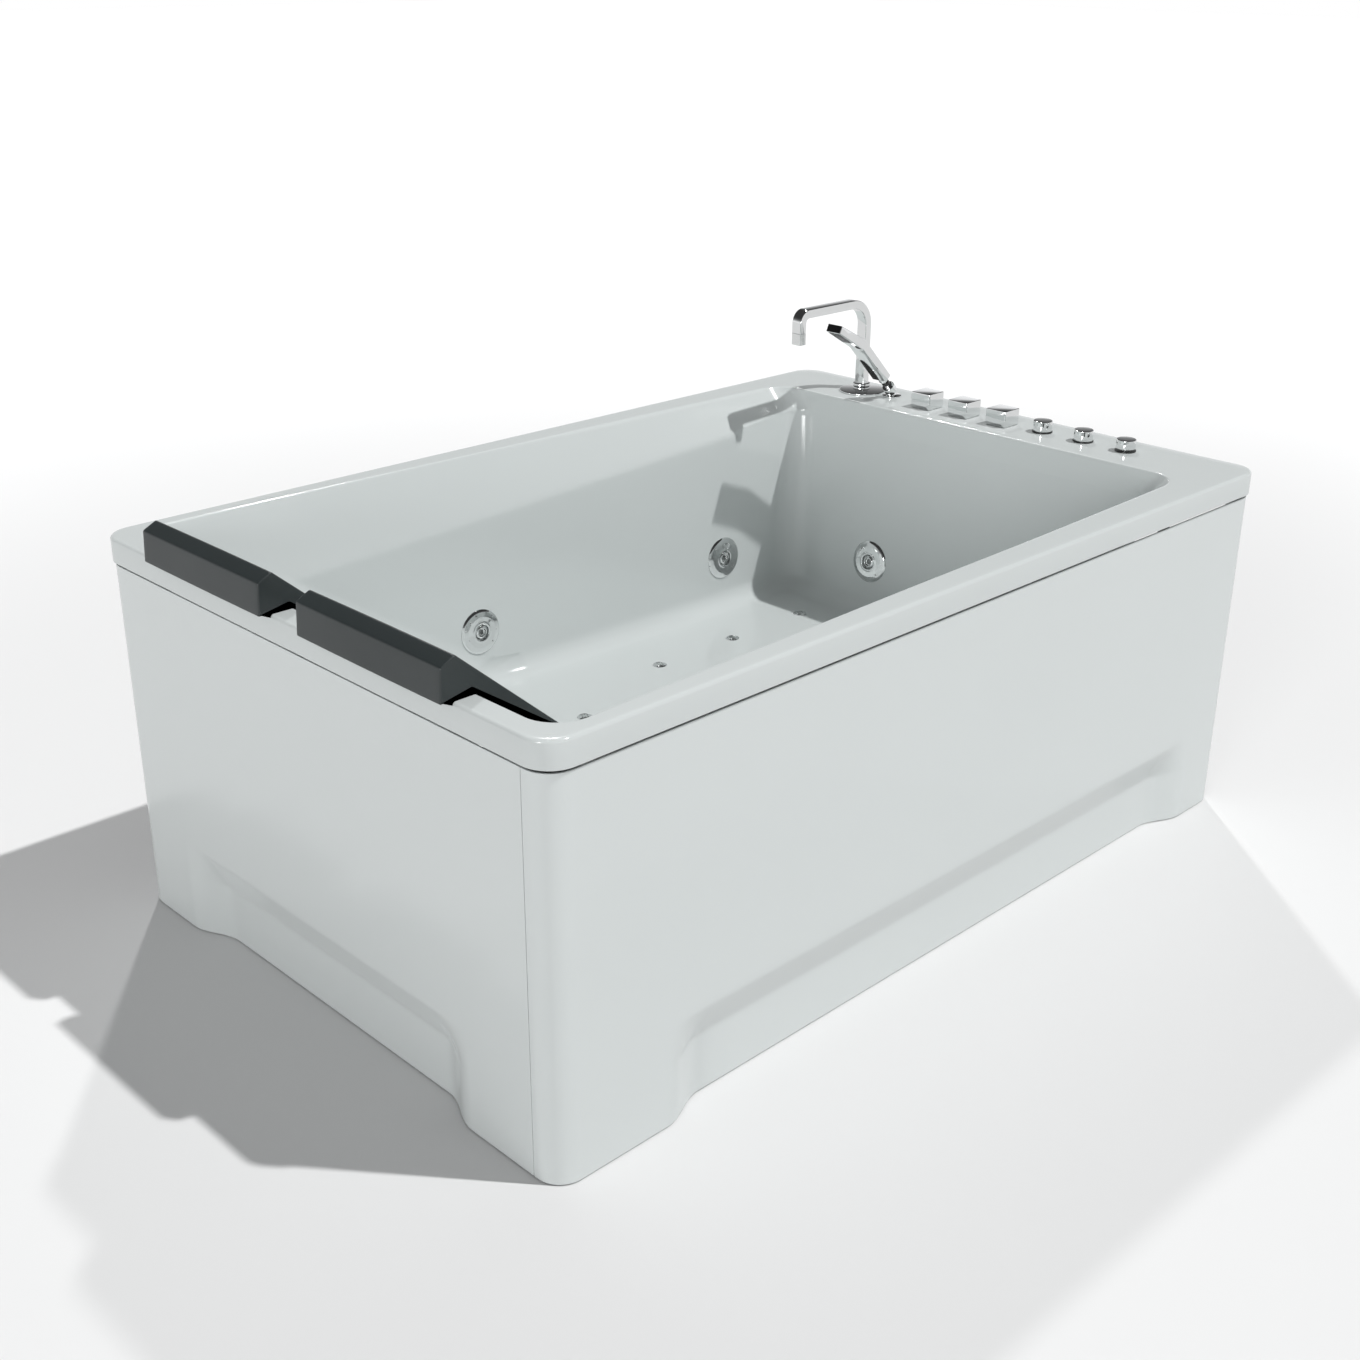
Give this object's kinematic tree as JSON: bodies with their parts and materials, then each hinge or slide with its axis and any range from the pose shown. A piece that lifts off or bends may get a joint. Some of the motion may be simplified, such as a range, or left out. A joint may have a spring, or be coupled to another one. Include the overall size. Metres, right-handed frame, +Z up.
{
  "type": "jetted bathtub",
  "caption": "Rectangular two-seat jetted bathtub with deck-mounted spout, hand shower, knobs, wall and floor jets, pillows, two aprons, frame, pump and pipework.",
  "frame": {"origin": "on the floor, below the middle of the tub's overall box", "axes": "+X along the tub from the pillows to the taps, +Y from the front apron to the open far side, +Z up"},
  "size_m": [1.8707, 1.2, 0.934],
  "materials": {
    "shell_acrylic": "gloss",
    "apron_acrylic": "gloss",
    "clip_plastic": "matte",
    "frame_bar": "satin",
    "foot_steel": "satin",
    "board": "matte",
    "pillow_skin": "satin",
    "fitting_chrome": "polished",
    "valve_brass": "cast",
    "pipe_pvc": "matte",
    "housing_plastic": "matte",
    "motor_paint": "satin"
  },
  "bodies": {
    "tub": {"air_ring": "pipe_pvc", "air_valve_bodies": "pipe_pvc", "apron_clips": "clip_plastic", "base_board": "board", "blower": "housing_plastic", "button_bellows": "clip_plastic", "control_box": "housing_plastic", "drain_flange": "fitting_chrome", "floor_air_jets": "fitting_chrome", "floor_air_manifold": "pipe_pvc", "frame_base": "frame_bar", "frame_cradle": "frame_bar", "frame_posts": "frame_bar", "frame_rim_rails": "frame_bar", "front_apron": "apron_acrylic", "head_apron": "apron_acrylic", "jet_bodies": "pipe_pvc", "jet_faces": "fitting_chrome", "knob_rings": "clip_plastic", "levelling_feet": "foot_steel", "mixer_body": "valve_brass", "overflow_plate": "fitting_chrome", "pump_motor": "motor_paint", "pump_plate": "frame_bar", "pump_wet_end": "housing_plastic", "shower_socket": "fitting_chrome", "spout_rosette": "fitting_chrome", "suction_cover": "fitting_chrome", "suction_line": "pipe_pvc", "tub_shell": "shell_acrylic", "waste_pipe": "pipe_pvc", "water_ring": "pipe_pvc"},
    "spout": {"spout": "fitting_chrome", "spout_aerator": "fitting_chrome"},
    "hand_shower": {"hand_shower": "fitting_chrome", "shower_spray_face": "clip_plastic"},
    "hot_knob": {"hot_knob": "fitting_chrome"},
    "cold_knob": {"cold_knob": "fitting_chrome"},
    "diverter_knob": {"diverter_knob": "fitting_chrome"},
    "air_knob_left": {"air_knob_left": "fitting_chrome"},
    "air_knob_right": {"air_knob_right": "fitting_chrome"},
    "pump_button": {"pump_button": "fitting_chrome"},
    "drain_plug": {"drain_plug": "fitting_chrome"},
    "overflow_knob": {"overflow_knob": "fitting_chrome"},
    "pillow_far": {"pillow_far": "pillow_skin"},
    "pillow_near": {"pillow_near": "pillow_skin"},
    "jet_nozzle_far_head": {"jet_nozzle_far_head": "fitting_chrome"},
    "jet_nozzle_far_foot": {"jet_nozzle_far_foot": "fitting_chrome"},
    "jet_nozzle_foot_far": {"jet_nozzle_foot_far": "fitting_chrome"},
    "jet_nozzle_near_head": {"jet_nozzle_near_head": "fitting_chrome"},
    "jet_nozzle_near_foot": {"jet_nozzle_near_foot": "fitting_chrome"},
    "jet_nozzle_foot_near": {"jet_nozzle_foot_near": "fitting_chrome"}
  },
  "joints": [
    {"name": "spout_swivel", "type": "hinge", "parent": "tub", "child": "spout", "pos_m": [0.8735, 0.378, 0.8], "axis": [0, 0, 1], "range_deg": [-30, 12]},
    {"name": "hand_shower_lift", "type": "slide", "parent": "tub", "child": "hand_shower", "axis": [-0.7071, 0, 0.7071], "range_m": [0, 0.06]},
    {"name": "hot_knob_turn", "type": "hinge", "parent": "tub", "child": "hot_knob", "pos_m": [0.8395, 0.159, 0.745], "axis": [0, 0, 1], "range_deg": [0, 90]},
    {"name": "cold_knob_turn", "type": "hinge", "parent": "tub", "child": "cold_knob", "pos_m": [0.8395, 0.0575, 0.745], "axis": [0, 0, 1], "range_deg": [-90, 0]},
    {"name": "diverter_turn", "type": "hinge", "parent": "tub", "child": "diverter_knob", "pos_m": [0.8395, -0.044, 0.745], "axis": [0, 0, 1], "range_deg": [-45, 45]},
    {"name": "air_knob_left_turn", "type": "hinge", "parent": "tub", "child": "air_knob_left", "pos_m": [0.8515, -0.14, 0.74], "axis": [0, 0, 1], "range_deg": [0, 180]},
    {"name": "air_knob_right_turn", "type": "hinge", "parent": "tub", "child": "air_knob_right", "pos_m": [0.8515, -0.2415, 0.74], "axis": [0, 0, 1], "range_deg": [0, 180]},
    {"name": "pump_button_press", "type": "slide", "parent": "tub", "child": "pump_button", "axis": [0, 0, -1], "range_m": [0, 0.003], "stiffness_N_per_m": 900, "springref_m": -0.005},
    {"name": "overflow_knob_turn", "type": "hinge", "parent": "tub", "child": "overflow_knob", "pos_m": [0.2105, -0.47892, 0.59], "axis": [0.0301, -0.9977, -0.06], "range_deg": [0, 90]},
    {"name": "drain_plug_lift", "type": "slide", "parent": "tub", "child": "drain_plug", "axis": [0, 0, 1], "range_m": [0, 0.012]},
    {"name": "pillow_far_lift", "type": "slide", "parent": "tub", "child": "pillow_far", "axis": [0, 0, 1], "range_m": [0, 0.12]},
    {"name": "pillow_near_lift", "type": "slide", "parent": "tub", "child": "pillow_near", "axis": [0, 0, 1], "range_m": [0, 0.12]},
    {"name": "jet_tilt_far_head", "type": "hinge", "parent": "tub", "child": "jet_nozzle_far_head", "pos_m": [-0.18744, 0.48001, 0.37488], "axis": [1, 0, 0], "range_deg": [-15, 15]},
    {"name": "jet_tilt_far_foot", "type": "hinge", "parent": "tub", "child": "jet_nozzle_far_foot", "pos_m": [0.50256, 0.45917, 0.37488], "axis": [1, 0, 0], "range_deg": [-15, 15]},
    {"name": "jet_tilt_foot_far", "type": "hinge", "parent": "tub", "child": "jet_nozzle_foot_far", "pos_m": [0.72857, 0.208, 0.37477], "axis": [0, 1, 0], "range_deg": [-15, 15]},
    {"name": "jet_tilt_near_head", "type": "hinge", "parent": "tub", "child": "jet_nozzle_near_head", "pos_m": [-0.18744, -0.48001, 0.37488], "axis": [1, 0, 0], "range_deg": [-15, 15]},
    {"name": "jet_tilt_near_foot", "type": "hinge", "parent": "tub", "child": "jet_nozzle_near_foot", "pos_m": [0.50256, -0.45917, 0.37488], "axis": [1, 0, 0], "range_deg": [-15, 15]},
    {"name": "jet_tilt_foot_near", "type": "hinge", "parent": "tub", "child": "jet_nozzle_foot_near", "pos_m": [0.72857, -0.208, 0.37477], "axis": [0, 1, 0], "range_deg": [-15, 15]}
  ],
  "couplings": [
    {"joint": "drain_plug_lift", "follows": "overflow_knob_turn", "m_per_rad": 0.0076}
  ]
}
